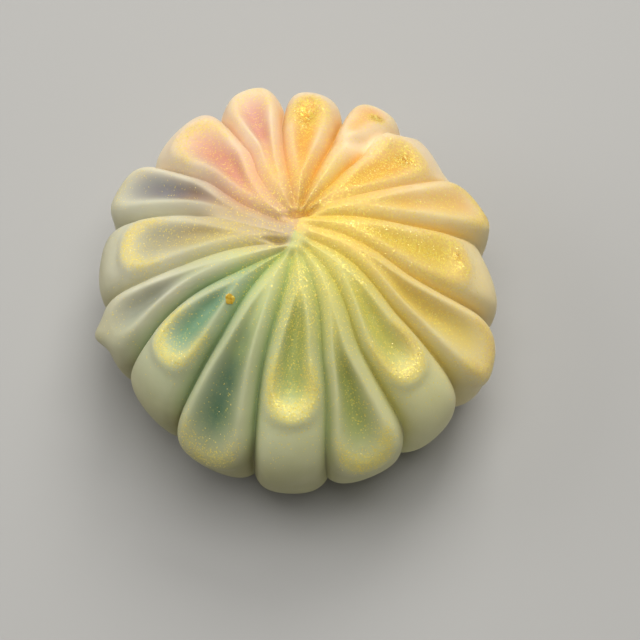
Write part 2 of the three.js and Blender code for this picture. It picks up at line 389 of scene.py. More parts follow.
def groove_azimuth(bench, aim, bow, twist, ring_radius):
    """The azimuth at which a groove, aimed from one of the two starts, crosses a circle."""
    far = 0.5 + 0.5 * bench.math("TANH", START_SPLIT_SHARPNESS * (aim - START_SPLIT_AZIMUTH).cosine())
    middle_x, middle_y = ring_middle(ring_radius)
    start_x = bench.between(far, NEAR_START[0], FAR_START[0]) - middle_x
    start_y = bench.between(far, NEAR_START[1], FAR_START[1]) - middle_y
    ahead_x = aim.sine()
    ahead_y = aim.cosine()
    along = start_x * ahead_x + start_y * ahead_y
    start_square = start_x * start_x + start_y * start_y
    start_radius = start_square.root()
    reached = ring_radius.at_least(FIRST_CROSSING * start_radius)
    run = (along * along + reached * reached - start_square).root() - along
    end_x = start_x + ahead_x * run
    end_y = start_y + ahead_y * run
    turned = bench.math("ARCTAN2", end_x * ahead_y - end_y * ahead_x, end_x * ahead_x + end_y * ahead_y)
    swing = (ring_radius / HALF_WIDTH).at_most(1.0) * 180
    bite = run.smooth(*BITE_ALONG) * ring_radius.smooth(*BITE_RADIUS)
    bent = bow * swing.sine() + twist * (1 - ring_radius.smooth(*TWIST_FADES))
    return aim + turned * math.degrees(1) + bent, bite


print("grooves start", round(math.dist(FAR_START, NEAR_START), 1), "mm apart")

# %% [markdown]
# ## The plain dome
#
# Before any groove the sweet is a ball pressed flat on a table. Above the girth it is half an ellipsoid,
# and its near half is a little shorter than its far one. Below the girth it draws in to a foot.


# %% The dome's radius and height
def outline_radius(bench, azimuth):
    far = bench.math("GREATER_THAN", azimuth.cosine(), 0.0)
    half_depth = bench.between(far, HALF_DEPTH_NEAR, HALF_DEPTH_FAR)
    across = azimuth.sine() / HALF_WIDTH
    along = azimuth.cosine() / half_depth
    return 1.0 / (across * across + along * along).root()


def dome_radius(angle, outline):
    below = (angle - 90).at_least(0.0)
    return outline * angle.at_most(90).sine() * (FOOT_SHARE + (1 - FOOT_SHARE) * below.cosine())


def dome_height(angle):
    below = (angle - 90).at_least(0.0)
    rise = (CROWN_HEIGHT - GIRTH_HEIGHT) * angle.at_most(90).cosine()
    return (GIRTH_HEIGHT * (1 - below.sine()) + rise).at_least(0.0)


print("foot radius", round(FOOT_SHARE * HALF_WIDTH, 1), "mm")

# %% [markdown]
# ## The reliefs
#
# Each tool mark is a height in mm, added to the dome along the direction that its wall faces. Written as
# separate functions they can be read, and changed, one tool at a time. Cutting each mark out with a
# boolean would be the other way, but paste has no sharp edges, and sums of smooth curves leave none.


# %% The fold
def fold_distance(bench, across, angle, half_petal):
    """How far inside the folded petal's head a point is, in mm. The crease is where this is 0."""
    left = (-across).smooth(*FOLD["turns_up"])
    onwards = (angle - FOLD["angle"]) * MM_PER_DEGREE - FOLD["turn_up"] * left
    inwards = (bench.between(angle.smooth(*FOLD["squares_off"]), FOLD["side"], 1.0) - across) * half_petal
    short_onwards = (FOLD["corner"] - onwards).at_least(0.0)
    short_inwards = (FOLD["corner"] - inwards).at_least(0.0)
    return FOLD["corner"] - (short_onwards * short_onwards + short_inwards * short_inwards).root()


def fold_relief(bench, petal, across, angle, half_petal):
    folded = bench.is_petal(petal, FOLD["petal"])
    inside = fold_distance(bench, across, angle, half_petal)
    width = bench.between(inside.smooth(*FOLD["neck_ends"]), FOLD["neck_width"], FOLD["head_width"])
    away = inside / width
    crease = bench.math("EXPONENT", -(away * away + FOLD["crease_rounding"]).root())
    head = inside.smooth(*FOLD["head_rises"])
    lasting = 1 - angle.smooth(*FOLD["fades"])
    room = 1 - (-across).at_least(0.0) ** 4
    return folded * lasting * room * (FOLD["rise"] * head - FOLD["depth"] * crease)


# %% The grooves' depth
def groove_strength(bench, index, cut, angle):
    """Two grooves fade out on part of their way, where their petals run into each other."""
    for merged in MERGED_GROOVES:
        gap = angle.smooth(*merged["from"]) * (1 - angle.smooth(*merged["to"]))
        cut = cut * (1 - bench.is_petal(index, merged["groove"]) * gap)
    return cut


def groove_relief(bench, across, angle, half_petal, cut, bite):
    """How near the groove's line a point is, from 0 to 1, and how deep it is pressed there."""
    fade = angle.smooth(DEEPEST_ANGLE, DEEPEST_ANGLE + FADE_SPAN)
    lobe = LOBE_DEPTH * angle.smooth(LOBES_BEGIN, DEEPEST_ANGLE) * (1 - LOBE_FADE * fade)
    pressed = CROWN_SHARE * bite + (1 - CROWN_SHARE) * angle.smooth(*WEDGE_DEEPENS)
    wedge = GROOVE_DEPTH * pressed * (1 - WEDGE_FADE * fade)
    edge = across.size().at_most(1.0)
    rounding = 1 - (1 - edge**LOBE_ROUNDNESS).at_least(0.0) ** (1 / LOBE_ROUNDNESS)
    to_groove = (1 - edge) * half_petal
    rounded = (to_groove * to_groove + GROOVE_BOTTOM**2).root() - GROOVE_BOTTOM
    nearness = bench.math("EXPONENT", -rounded / GROOVE_WIDTH)
    return nearness * cut.at_most(1.0) * bite, -cut * (lobe * rounding + wedge * nearness)


# %% The hollows' depth
def hollow_edge(across, angle, half_petal, reach, cap, rim, aside):
    """0 in the middle of a hollow and 1 at its edge."""
    half_hollow = (half_petal - rim).at_least(LEAST_HALF_HOLLOW)
    sideways = (across - aside) * half_petal / half_hollow
    onwards = ((angle - (reach - cap)).at_least(0.0) / cap) ** CAP_FULLNESS
    return (sideways * sideways + onwards * onwards).root()


def hollow_relief(bench, petal, across, angle, half_petal, read):
    """How deep in a hollow a point is, how near its brushed edge, and the hollow with its lip in mm."""
    reach, cap, depth, rim, aside = (
        read(word, petal) for word in ("reach", "cap", "depth", "rim", "aside")
    )
    edge = hollow_edge(across, angle, half_petal, reach, cap, rim, aside)
    grow = HOLLOW_AT_TOP + (1 - HOLLOW_AT_TOP) * angle.smooth(HOLLOW_TOP, reach - cap)
    room = (half_petal - rim).smooth(0.0, HOLLOW_ROOM)
    under_hood = 1 - fold_distance(bench, across, angle, half_petal).smooth(*FOLD["hollow_opens"])
    opened = 1 - bench.is_petal(petal, FOLD["petal"]) * under_hood
    bowl = (1 - edge * edge).at_least(0.0) ** HOLLOW_POWER * grow * room * opened
    near_end = (angle - (reach - HOLLOW_END)).smooth(*LIP_RISES) * (1 - across**4)
    lip = ((edge - LIP_PLACE) / LIP_WIDTH).bell() * near_end
    brushed = ((edge - BRUSHED_PLACE) / BRUSHED_WIDTH).bell() * near_end
    return bowl, brushed, depth * (LIP_SHARE * lip - bowl)


# %% The crown, the pinch and the swelling wall
SWELL_RISES = (45, 80)


def crown_relief(x, y, angle):
    relief = -SHOULDER_FLAT * ((angle.at_most(90) * 2).sine()) ** 2
    for pit in (FAR_PIT, NEAR_PIT):
        cosine = math.cos(math.radians(pit["tilt"]))
        sine = math.sin(math.radians(pit["tilt"]))
        along = ((x - pit["x"]) * cosine + (y - pit["y"]) * sine) / pit["half_x"]
        beside = ((y - pit["y"]) * cosine - (x - pit["x"]) * sine) / pit["half_y"]
        relief = relief - pit["depth"] * (along * along + beside * beside).root().bell()
    return relief - CROWN_SINK * ((x * x + y * y).root() / CROWN_SINK_RADIUS).bell()


def spot(bench, petal, across, angle, form, strength):
    """A small round place on one petal: this strength in its middle, falling away on all sides."""
    sideways = (across - form["across"]) / form["half_across"]
    onwards = (angle - form["angle"]) / form["half_angle"]
    away = (sideways * sideways + onwards * onwards).root()
    return bench.is_petal(petal, form["petal"]) * strength * away.bell()


def pinch_relief(bench, petal, across, angle):
    return spot(bench, petal, across, angle, PINCH, PINCH["height"])


def swell_relief(petal, across, angle, read):
    middle = read("swell", petal) * (1 - across.size() ** 3)
    sideways = read("skew", petal) * across * (1 - across**4)
    return (middle + sideways) * angle.smooth(*SWELL_RISES)


print("reliefs ready: fold, grooves, hollows, crown, pinch and swelling")

# %% [markdown]
# ## Where the gold lies
#
# The brush goes over the crown and down the petals. It leaves dust in the hollows, half as much beside
# them, more again on the crests near the crown, and a bright line on the edge where a hollow ends. In a
# few places a full brush touched the paste and left a dab. The sum of these is one number at each point,
# the dust mark. Both the film of gold in the paste's finish and the flakes read it, so they always lie in
# the same places.

# %% The dust mark
DUST_FADES = (52, 84)
DUST_OUTSIDE_HOLLOWS = 0.5
CREST_DUST = 0.5
CREST_BEGINS = (2, 12)
CREST_ENDS = (25, 55)
CROWN_GOLD = 0.25
CROWN_GOLD_FADES = (10, 34)
DABS = [
    {"petal": 1, "across": 0.25, "angle": 62.5, "half_across": 0.22, "half_angle": 3.5, "dust": 2.6},
    {"petal": 0, "across": -0.1, "angle": 54, "half_across": 0.45, "half_angle": 9, "dust": 1.3},
    {"petal": 2, "across": 0.15, "angle": 52, "half_across": 0.35, "half_angle": 5, "dust": 1.2},
    {"petal": 4, "across": -0.1, "angle": 55, "half_across": 0.15, "half_angle": 2.5, "dust": 0.9},
    {"petal": 3, "across": 0.45, "angle": 82, "half_across": 0.15, "half_angle": 3, "dust": 0.9},
]


def dabs_of_dust(bench, petal, across, angle):
    dust = 0.0
    for dab in DABS:
        dust = dust + spot(bench, petal, across, angle, dab, dab["dust"])
    return dust


def dust_mark(bench, petal, across, angle, bowl, groove, brushed, read):
    upper = 1 - angle.smooth(*DUST_FADES)
    crest = (1 - groove) * (1 - bowl) * angle.smooth(*CREST_BEGINS) * (1 - angle.smooth(*CREST_ENDS))
    in_hollows = DUST_OUTSIDE_HOLLOWS + (1 - DUST_OUTSIDE_HOLLOWS) * bowl
    dust = read("gold", petal) * (upper * in_hollows + CREST_DUST * crest)
    dust = (dust + read("end_gold", petal) * brushed).at_most(1.0)
    dust = dust + CROWN_GOLD * (1 - angle.smooth(*CROWN_GOLD_FADES))
    return dust + dabs_of_dust(bench, petal, across, angle)


print(len(DABS), "dabs of gold")

# %% [markdown]
# ## The body as a geometry tree
#
# The real body is one smooth lump, so the tree starts from one closed skin: a UV sphere, whose poles and
# seam are already closed. Each of its points only moves. Its azimuth says which petal it belongs to, its
# height on the sphere becomes the angle down from the crown, and the rules above give its new place.
# Sculpting would look as good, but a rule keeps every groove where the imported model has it.


# %% A geometry tree with named inputs
class ShapeBench(Bench):
    """A geometry tree whose inputs have names, and a modifier that sets them by identifier."""

    def __init__(self, name):
        tree = bpy.data.node_groups.new(name, "GeometryNodeTree")
        super().__init__(tree)
        self.entry = tree.nodes.new("NodeGroupInput")
        self.values = {}
        tree.interface.new_socket("Geometry", in_out="OUTPUT", socket_type="NodeSocketGeometry")
        self.exit = tree.nodes.new("NodeGroupOutput")

    def named_input(self, name, kind, value):
        made = self.tree.interface.new_socket(name, in_out="INPUT", socket_type="NodeSocket" + kind)
        self.values[made.identifier] = value
        return Reading(self, self.entry.outputs[name])

    def finish(self, geometry, material):
        realized = self.add("GeometryNodeRealizeInstances", sockets={"Geometry": geometry})
        finished = self.add(
            "GeometryNodeSetMaterial",
            sockets={"Geometry": realized.outputs["Geometry"], "Material": material},
        )
        self.plug(self.exit.inputs["Geometry"], finished.outputs["Geometry"])

    def make(self, name):
        """Runs the tree once and keeps its result as a plain mesh."""
        holder = bpy.data.objects.new(name + "_holder", bpy.data.meshes.new(name))
        bpy.context.collection.objects.link(holder)
        modifier = holder.modifiers.new(name, "NODES")
        modifier.node_group = self.tree
        for identifier, value in self.values.items():
            modifier[identifier] = value
        ready = holder.evaluated_get(bpy.context.evaluated_depsgraph_get())
        mesh = bpy.data.meshes.new_from_object(ready)
        mesh.name = name
        holder.modifiers.remove(modifier)
        bpy.data.objects.remove(holder)
        piece = bpy.data.objects.new(name, mesh)
        bpy.context.collection.objects.link(piece)
        return piece


# %% [markdown]
# The detail is on the upper half, so the rings crowd there: the angle grows slowly down to `FINE_ANGLE`
# and faster below it, which leaves three rings in five above the girth. The columns crowd at the grooves
# in the same way. The nudge keeps points that lie exactly on a groove in one petal, in spite of rounding.

# %% Reading the ball's points
COLUMNS_PER_PETAL = 32
RINGS = 180
COLUMN_CROWDING = 1.25
GROOVE_NUDGE = 1e-4
FINE_ANGLE = 110
FINE_SLOPE = 147
FINE_SHARE = FINE_ANGLE / FINE_SLOPE


def petal_and_share(bench, ball_x, ball_y):
    """How many petals round the flower a point is, which petal that is, and its share across it."""
    turn = bench.math("ARCTAN2", ball_x, ball_y) * math.degrees(1)
    petals_round = bench.math("FLOORED_MODULO", turn / PITCH + GROOVE_NUDGE, PETAL_COUNT)
    petal = petals_round.floor()
    even = ((petals_round - petal) * 2 - 1 - 2 * GROOVE_NUDGE).at_least(-1.0)
    side = bench.math("SIGN", even)
    return petals_round, petal, side * (1 - (1 - even.size()) ** COLUMN_CROWDING)


def angle_from_crown(bench, ball_x, ball_y, ball_z, rings):
    """The angle down from the crown, and 1 at the pole that becomes the foot's middle."""
    flat = (ball_x * ball_x + ball_y * ball_y).root()
    down = bench.math("ARCTAN2", flat, ball_z) * math.degrees(1)
    last_ring = 180 * (1 - 1 / rings)
    fraction = (down / last_ring).at_most(1.0)
    fine = (fraction * FINE_SLOPE).at_most(FINE_ANGLE)
    coarse = (fraction - FINE_SHARE).at_least(0.0) * ((180 - FINE_ANGLE) / (1 - FINE_SHARE))
    return fine + coarse, bench.math("GREATER_THAN", down, (last_ring + 180) / 2)


def card_reader(bench, card_input):
    """A function that reads one of a petal's numbers, by its word and the petal's index."""
    card_info = bench.add("GeometryNodeObjectInfo", sockets={"Object": card_input})

    def read(word, index):
        wrapped = bench.math("FLOORED_MODULO", index, PETAL_COUNT)
        stored = bench.add("GeometryNodeInputNamedAttribute", {"data_type": "FLOAT"}, {"Name": word})
        sockets = {
            "Geometry": card_info.outputs["Geometry"],
            "Value": stored.outputs["Attribute"],
            "Index": wrapped,
        }
        found = bench.add("GeometryNodeSampleIndex", {"data_type": "FLOAT", "domain": "POINT"}, sockets)
        return Reading(bench, found.outputs["Value"])

    return read


print(PETAL_COUNT * COLUMNS_PER_PETAL, "columns and", RINGS, "rings")


# %% The body's tree
def body_tree(material):
    bench = ShapeBench("chrysanthemum body")
    columns = bench.named_input("Columns", "Int", PETAL_COUNT * COLUMNS_PER_PETAL)
    rings = bench.named_input("Rings", "Int", RINGS)
    read = card_reader(bench, bench.named_input("Petal card", "Object", card))
    ball = {"Segments": columns, "Rings": rings, "Radius": 1.0}
    sphere = bench.add("GeometryNodeMeshUVSphere", sockets=ball)
    place = bench.add("GeometryNodeInputPosition")
    parts = bench.add("ShaderNodeSeparateXYZ", sockets={"Vector": place.outputs["Position"]})
    ball_x, ball_y, ball_z = (Reading(bench, parts.outputs[axis]) for axis in "XYZ")
    petals_round, petal, across = petal_and_share(bench, ball_x, ball_y)
    angle, on_foot = angle_from_crown(bench, ball_x, ball_y, ball_z, rings)

    # The two grooves beside the point, and the point's azimuth between them
    ring_radius = dome_radius(angle, HALF_WIDTH)
    grooves = []
    bites = []
    cuts = []
    for index in (petal, petal + 1):
        aim = FIRST_AZIMUTH + PITCH * index + read("lean", index)
        groove, bite = groove_azimuth(bench, aim, read("bow", index), read("twist", index), ring_radius)
        grooves.append(groove)
        bites.append(bite)
        cuts.append(groove_strength(bench, index, read("cut", index), angle))
    share = (across + 1) / 2
    azimuth = bench.between(share, *grooves)
    bite = bench.between(share, *bites)
    cut = bench.between(share, *cuts)

    # The dome there, and the direction that its wall faces
    middle_x, middle_y = ring_middle(ring_radius)
    outline = outline_radius(bench, azimuth)
    radius = dome_radius(angle, outline)
    height = dome_height(angle)
    out = angle.at_most(90).sine() / outline
    up = angle.at_most(90).cosine() / (CROWN_HEIGHT - GIRTH_HEIGHT)
    length = (out * out + up * up).root()
    half_petal = 0.5 * radius * (grooves[1] - grooves[0]) * math.radians(1)

    # The tool marks, added along that direction
    bowl, brushed, hollow = hollow_relief(bench, petal, across, angle, half_petal, read)
    crown = crown_relief(radius * azimuth.sine() + middle_x, radius * azimuth.cosine() + middle_y, angle)
    groove, grooved = groove_relief(bench, across, angle, half_petal, cut, bite)
    offset = grooved + hollow + crown + swell_relief(petal, across, angle, read)
    offset = offset + pinch_relief(bench, petal, across, angle)
    offset = offset + fold_relief(bench, petal, across, angle, half_petal)
    new_radius = (radius + out / length * offset) * (1 - on_foot)
    new_height = height + up / length * offset
    new_place = bench.add(
        "ShaderNodeCombineXYZ",
        sockets={
            "X": (new_radius * azimuth.sine() + middle_x) * MM,
            "Y": (new_radius * azimuth.cosine() + middle_y) * MM,
            "Z": new_height * MM,
        },
    )

    # The marks are stored before the points move, because every sum above reads the ball's own points
    dust = dust_mark(bench, petal, across, angle, bowl, groove, brushed, read)
    turn = (petals_round / PETAL_COUNT) * 360
    marks = {"bowl": bowl, "groove": groove, "down": angle, "dust": dust}
    marks.update({"turn_sine": turn.sine(), "turn_cosine": turn.cosine()})
    geometry = sphere.outputs["Mesh"]
    for word, number in marks.items():
        stored = bench.add(
            "GeometryNodeStoreNamedAttribute",
            {"data_type": "FLOAT", "domain": "POINT"},
            {"Geometry": geometry, "Name": word, "Value": number},
        )
        geometry = stored.outputs["Geometry"]
    moved = bench.add(
        "GeometryNodeSetPosition",
        sockets={"Geometry": geometry, "Position": new_place.outputs["Vector"]},
    )
    smooth = bench.add("GeometryNodeSetShadeSmooth", sockets={"Geometry": moved.outputs["Geometry"]})
    bench.finish(smooth.outputs["Geometry"], material)
    return bench


# %% [markdown]
# ## The paste's finish
#
# White bean paste is pale cream, dull like satin, and lets a little light in. Here lumps of it were
# tinted, so the colour goes round the flower from orange over yellow, green and teal to lavender and
# rose. A pressed place shows the tint strongly, because the stick drags the coloured paste open there. A
# rim or a wall shows the pale paste that covers it. A picture wrapped round the sweet would do this too,
# but a rule on the marks that the body's tree stored stays sharp at any distance.
#
# The finish reads marks, the piece's own coordinates and the way that its wall faces, so the pattern
# stays on the paste when the sweet is turned.

# %% A bench for finishes
# The colour sockets of a Mix node share their names with its other kinds, so they go by number
MIX_SHARE, MIX_LOW, MIX_HIGH, MIX_RESULT = 0, 6, 7, 2


class FinishBench(Bench):
    """A material's tree, with its shader and the marks that the body's tree stored."""

    def __init__(self, name):
        self.material = bpy.data.materials.new(name)
        self.material.use_nodes = True
        super().__init__(self.material.node_tree)
        self.shader = self.tree.nodes["Principled BSDF"]
        self.place = self.add("ShaderNodeTexCoord").outputs["Object"]

    def mark(self, word):
        node = self.add("ShaderNodeAttribute", {"attribute_name": word})
        return Reading(self, node.outputs["Fac"])

    def noise(self, size, detail=2.0):
        """Soft noise from 0 to 1, whose spots are about this many mm wide."""
        sockets = {"Vector": self.place, "Scale": 1 / (size * MM), "Detail": detail}
        return Reading(self, self.add("ShaderNodeTexNoise", sockets=sockets).outputs["Fac"])

    def cells(self, size):
        """Small cells about this many mm wide, each with a random colour."""
        sockets = {"Vector": self.place, "Scale": 1 / (size * MM)}
        return self.add("ShaderNodeTexVoronoi", sockets=sockets).outputs["Color"]

    def channel(self, colour, name):
        parts = self.add("ShaderNodeSeparateColor", sockets={"Color": colour})
        return Reading(self, parts.outputs[name])

    def ramp(self, share, stops):
        node = self.add("ShaderNodeValToRGB", {"stops": stops}, {"Fac": share})
        return node.outputs["Color"]

    def blend(self, share, low, high, way="MIX"):
        settings = {"data_type": "RGBA", "blend_type": way}
        node = self.add("ShaderNodeMix", settings, {MIX_SHARE: share, MIX_LOW: low, MIX_HIGH: high})
        return node.outputs[MIX_RESULT]

    def vector(self, operation, *values):
        node = self.add("ShaderNodeVectorMath", {"operation": operation})
        for slot, value in zip(node.inputs, values):
            self.plug(slot, value)
        return node.outputs["Vector"]

    def constants(self, values):
        for name, value in values.items():
            self.shader.inputs[name].default_value = value


def paint(red, green, blue):
    """A colour as a screen shows it, 0 to 255, as the linear light that Blender mixes."""
    return tuple(((part / 255 + 0.055) / 1.055) ** 2.4 for part in (red, green, blue))


print("a middle grey of 128 is", round(paint(128, 128, 128)[0], 3), "in linear light")

# %% [markdown]
# ## The tints
#
# The tints have names, so that a petal's colours read as words. The outer ramp has the hollows' colours,
# the inner one those near the crown, the crown one those of the two pits, and the pale one those of the
# rims and walls. Each ramp goes once round the flower with one stop for each petal. Its two ends have the
# same colour, or there would be a seam on the far side.

# %% The tints
TINTS = {
    "orange": paint(234, 164, 74),
    "apricot": paint(240, 184, 118),
    "amber": paint(234, 180, 80),
    "cream": paint(240, 208, 132),
    "peach": paint(236, 190, 116),
    "butter": paint(236, 196, 90),
    "lemon": paint(228, 200, 86),
    "honey": paint(220, 198, 108),
    "moss": paint(200, 200, 104),
    "leaf": paint(150, 164, 88),
    "spring": paint(176, 192, 118),
    "meadow": paint(204, 198, 98),
    "mint": paint(200, 212, 146),
    "teal": paint(78, 114, 84),
    "sea": paint(126, 166, 130),
    "sage": paint(150, 154, 134),
    "straw": paint(176, 168, 132),
    "lavender": paint(124, 121, 130),
    "dusk": paint(182, 140, 100),
    "wheat": paint(196, 174, 122),
    "salmon": paint(218, 148, 134),
    "rose": paint(212, 144, 142),
    "pit": paint(180, 122, 44),
    "gold": paint(240, 194, 64),
    "deep gold": paint(216, 150, 8),
    "lemon dust": paint(234, 220, 100),
    # the colour of painted highlights on spangles and glints
    "glint": paint(255, 234, 104),
    "shell": paint(246, 226, 190),
    "custard": paint(240, 222, 172),
    "reed": paint(222, 220, 170),
    "jade": paint(216, 218, 176),
    "mist": paint(226, 224, 196),
    # painted shade: the olive that the low walls are darkened towards
    "shade_olive": paint(158, 150, 98),
}
OUTER_TINTS = ("orange", "apricot", "orange", "peach", "lemon", "honey", "moss", "leaf",
               "spring", "teal", "sea", "sage", "straw", "lavender", "salmon", "rose")
INNER_TINTS = ("orange", "cream", "amber", "butter", "lemon", "lemon", "moss", "meadow",
               "leaf", "mint", "sea", "mint", "wheat", "dusk", "salmon", "apricot")
CROWN_TINTS = ("pit", "pit", "pit", "lemon", "lemon", "lemon", "meadow", "meadow",
               "moss", "moss", "moss", "wheat", "dusk", "dusk", "dusk", "pit")
PALE_TINTS = ("shell", "shell", "shell", "custard", "custard", "custard", "reed", "reed",
              "jade", "jade", "jade", "mist", "mist", "mist", "shell", "shell")


def opaque(name):
    return (*TINTS[name], 1)


def round_stops(names):
    """A ramp's stops round the flower, one for each petal's middle, closed at the first groove."""
    stops = [((index + 0.5) / PETAL_COUNT, TINTS[name]) for index, name in enumerate(names)]
    seam = tuple((first + last) / 2 for first, last in zip(TINTS[names[0]], TINTS[names[-1]]))
    return [(0.0, seam)] + stops + [(1.0, seam)]


def toward(turn, azimuth):
    """1 on the side of the flower that faces this azimuth, and 0 on the opposite side."""
    return 0.5 + 0.5 * (turn * 360 - azimuth).cosine()


print(len(TINTS), "tints")

# %% [markdown]
# ## Tinted paste
#
# First comes the tint round the flower, then how strongly it shows. Low down, the pale walls are darkened
# towards olive as painted shade, most of all on the near left side, away from the window. The grooves are
# multiplied darker, yellow on the warm side and sea green on the cool side: partly tint gathered in the
# paste, partly painted shade in the creases. It multiplies the paste's colour and doesn't cover it.

# %% The paste's colour
SWIRL_SIZE = 9.0
WANDER_SIZE = 4.0
TURN_SWIRL = 0.05
INNER_ENDS = (16, 50)
INNER_SWIRL = 30
CROWN_ENDS = (4, 22)
CROWN_SWIRL = 20
CROWN_STRENGTH = 0.8

PRESSED_POWER = 0.7
PLAIN_STRENGTH = 0.14
PRESSED_STRENGTH = 0.8
# Grooves show more tint: partly tinted paste, partly painted shade in the creases
GROOVE_STRENGTH = 0.22
INNER_STRENGTH = 0.46
STRENGTH_WANDER = 0.25
WALL_BEGINS = (56, 90)
WALL_WANDER = 16
WALL_PALES = 0.72

# Painted shade: the low walls are darkened towards olive, a little all round and most on the near left,
# away from the window
SHADED_TURN = 240
SHADED_SPREAD = (0.6, 0.9)
LOW_BEGINS = (52, 100)
LOW_WANDER = 20
LOW_WALL_PAINTED_SHADE = 0.1
SHADED_SIDE_PAINTED_SHADE = 0.65

# The grooves' darkening: partly tint gathered in the paste, partly painted shade in the creases
GROOVE_TINT_AND_SHADE_TURN = 100
GROOVE_TINT_AND_SHADE_SPREAD = (0.3, 0.7)
WARM_GROOVE_TINT_AND_SHADE = (0.94, 0.80, 0.26, 1)
SEA_TURN = 215
SEA_SPREAD = (0.7, 0.95)
SEA_GROOVE_TINT_AND_SHADE = (0.64, 0.80, 0.66, 1)
GROOVE_TINT_AND_SHADE_POWER = 2.5
GROOVE_TINT_AND_SHADE_ENDS = (60, 100)
GROOVE_TINT_AND_SHADE_SHARE = 0.8


def tint_strength(bowl, groove, down, inner, wander):
    """How strongly the tint shows through the pale paste: most in a hollow, least on a wall."""
    pressed = bowl.at_least(0.0) ** PRESSED_POWER
    strength = PLAIN_STRENGTH + PRESSED_STRENGTH * pressed
    strength = strength + GROOVE_STRENGTH * groove + INNER_STRENGTH * inner
    wall = (down + wander * WALL_WANDER).smooth(*WALL_BEGINS)
    return strength.at_most(1.0) * (1 - WALL_PALES * wall * (1 - pressed)) + wander * STRENGTH_WANDER


# Multiplies the grooves darker: partly tint gathered in the paste, partly painted shade in the creases
def tint_and_shade_grooves(bench, paste, turn, groove, down):
    warm = toward(turn, GROOVE_TINT_AND_SHADE_TURN).smooth(*GROOVE_TINT_AND_SHADE_SPREAD)
    sea = toward(turn, SEA_TURN).smooth(*SEA_SPREAD)
    groove_tint_and_shade = groove.at_least(0.0) ** GROOVE_TINT_AND_SHADE_POWER * warm.at_least(sea) * (1 - down.smooth(*GROOVE_TINT_AND_SHADE_ENDS))
    groove_tint_and_shade_colour = bench.blend(sea, WARM_GROOVE_TINT_AND_SHADE, SEA_GROOVE_TINT_AND_SHADE)
    return bench.blend(groove_tint_and_shade * GROOVE_TINT_AND_SHADE_SHARE, paste, groove_tint_and_shade_colour, "MULTIPLY")


def paste_colour(bench, turn, bowl, groove, down, swirl, wander):
    inner = 1 - (down + swirl * INNER_SWIRL).smooth(*INNER_ENDS)
    crown = CROWN_STRENGTH * (1 - (down + swirl * CROWN_SWIRL).smooth(*CROWN_ENDS))
    outer_tint = bench.ramp(turn, round_stops(OUTER_TINTS))
    inner_tint = bench.ramp(turn, round_stops(INNER_TINTS))
    tint = bench.blend(inner, outer_tint, inner_tint)
    tint = bench.blend(crown, tint, bench.ramp(turn, round_stops(CROWN_TINTS)))
    shaded = toward(turn, SHADED_TURN).smooth(*SHADED_SPREAD)
    # Painted shade on the low walls, strongest on the near left
    low = (down + wander * LOW_WANDER).smooth(*LOW_BEGINS) * (LOW_WALL_PAINTED_SHADE + SHADED_SIDE_PAINTED_SHADE * shaded)
    pale = bench.blend(low, bench.ramp(turn, round_stops(PALE_TINTS)), opaque("shade_olive"))
    strength = tint_strength(bowl, groove, down, inner, wander)
    paste = bench.blend(strength.at_least(0.0).at_most(1.0), pale, tint)
    return tint_and_shade_grooves(bench, paste, turn, groove, down)


print("the tint shows", PLAIN_STRENGTH, "on a plain place and", PRESSED_STRENGTH, "more in a hollow")

# %% [markdown]
# ## Gold over the paste
#
# Lustre dust is a powder of tiny flakes. Where little of it lies, grains of gold stand apart on the
# paste. More of it joins into a film, and a dab is so thick that the gold turns deep and metallic.
# Spangles are painted highlights: random grains painted brighter, as if they faced the light. On the cool
# side the same dust looks lemon yellow over green paste. The film is colour. Glints are painted highlights
# in the colour too, and each also tilts the surface that the light sees its own way.

# %% Tinted paste, dusted with gold
GRAIN_SIZE = 0.22
GRAIN_DETAIL = 3.0
SPANGLE_SIZE = 0.3
GLINT_SIZE = 0.13
DIMPLE_SIZE = 1.4

FILM_BEGINS = (0.1, 1.0)
FILM_DUST = 1.1
FILM_GRAIN = 1.4
FILM_WANDER = 0.5
THICK_BEGINS = (0.9, 1.8)
THICK_WANDER = 0.6
LEMON_DUST_TURN = 215
LEMON_DUST_SPREAD = (0.45, 0.9)
PAINTED_SPANGLE_HIGHLIGHTS = (0.35, 0.95)
SPANGLE_HIGHLIGHT_SHARE = 0.5
COVER = {"film": 0.45, "thick": 0.3, "bright": 0.15}
GLINT_CHANCE = 0.2
GLINT_SHARE = 0.6
GLINT_TILT = (0.35, 0.35, 0.35, 1)
NO_TILT = (0, 0, 0, 1)

METAL = {"film": 0.08, "thick": 0.3, "glint": 0.1}
PASTE_ROUGHNESS = 0.56
ROUGHER = {"grain": 0.2, "film": 0.06, "glint": 0.16}
BUMP_DEPTH = 0.05
BUMP_DIMPLE = 0.6
BUMP_GRAIN = 0.25
TRANSLUCENCE = {
    "Subsurface Weight": 0.35,
    "Subsurface Radius": (0.9, 0.75, 0.5),
    "Subsurface Scale": 1.2 * MM,
}


def surface_direction(bench, flake_colour, glint, relief):
    """The paste's fine relief as a bump, over a surface that each glint tilts its own way."""
    tilt = bench.vector("SUBTRACT", flake_colour, (0.5, 0.5, 0.5))
    tilt = bench.vector("MULTIPLY", tilt, bench.blend(glint, NO_TILT, GLINT_TILT))
    facing = bench.add("ShaderNodeNewGeometry").outputs["Normal"]
    facing = bench.vector("NORMALIZE", bench.vector("ADD", facing, tilt))
    sockets = {"Strength": 1.0, "Distance": BUMP_DEPTH * MM, "Height": relief, "Normal": facing}
    return bench.add("ShaderNodeBump", sockets=sockets).outputs["Normal"]


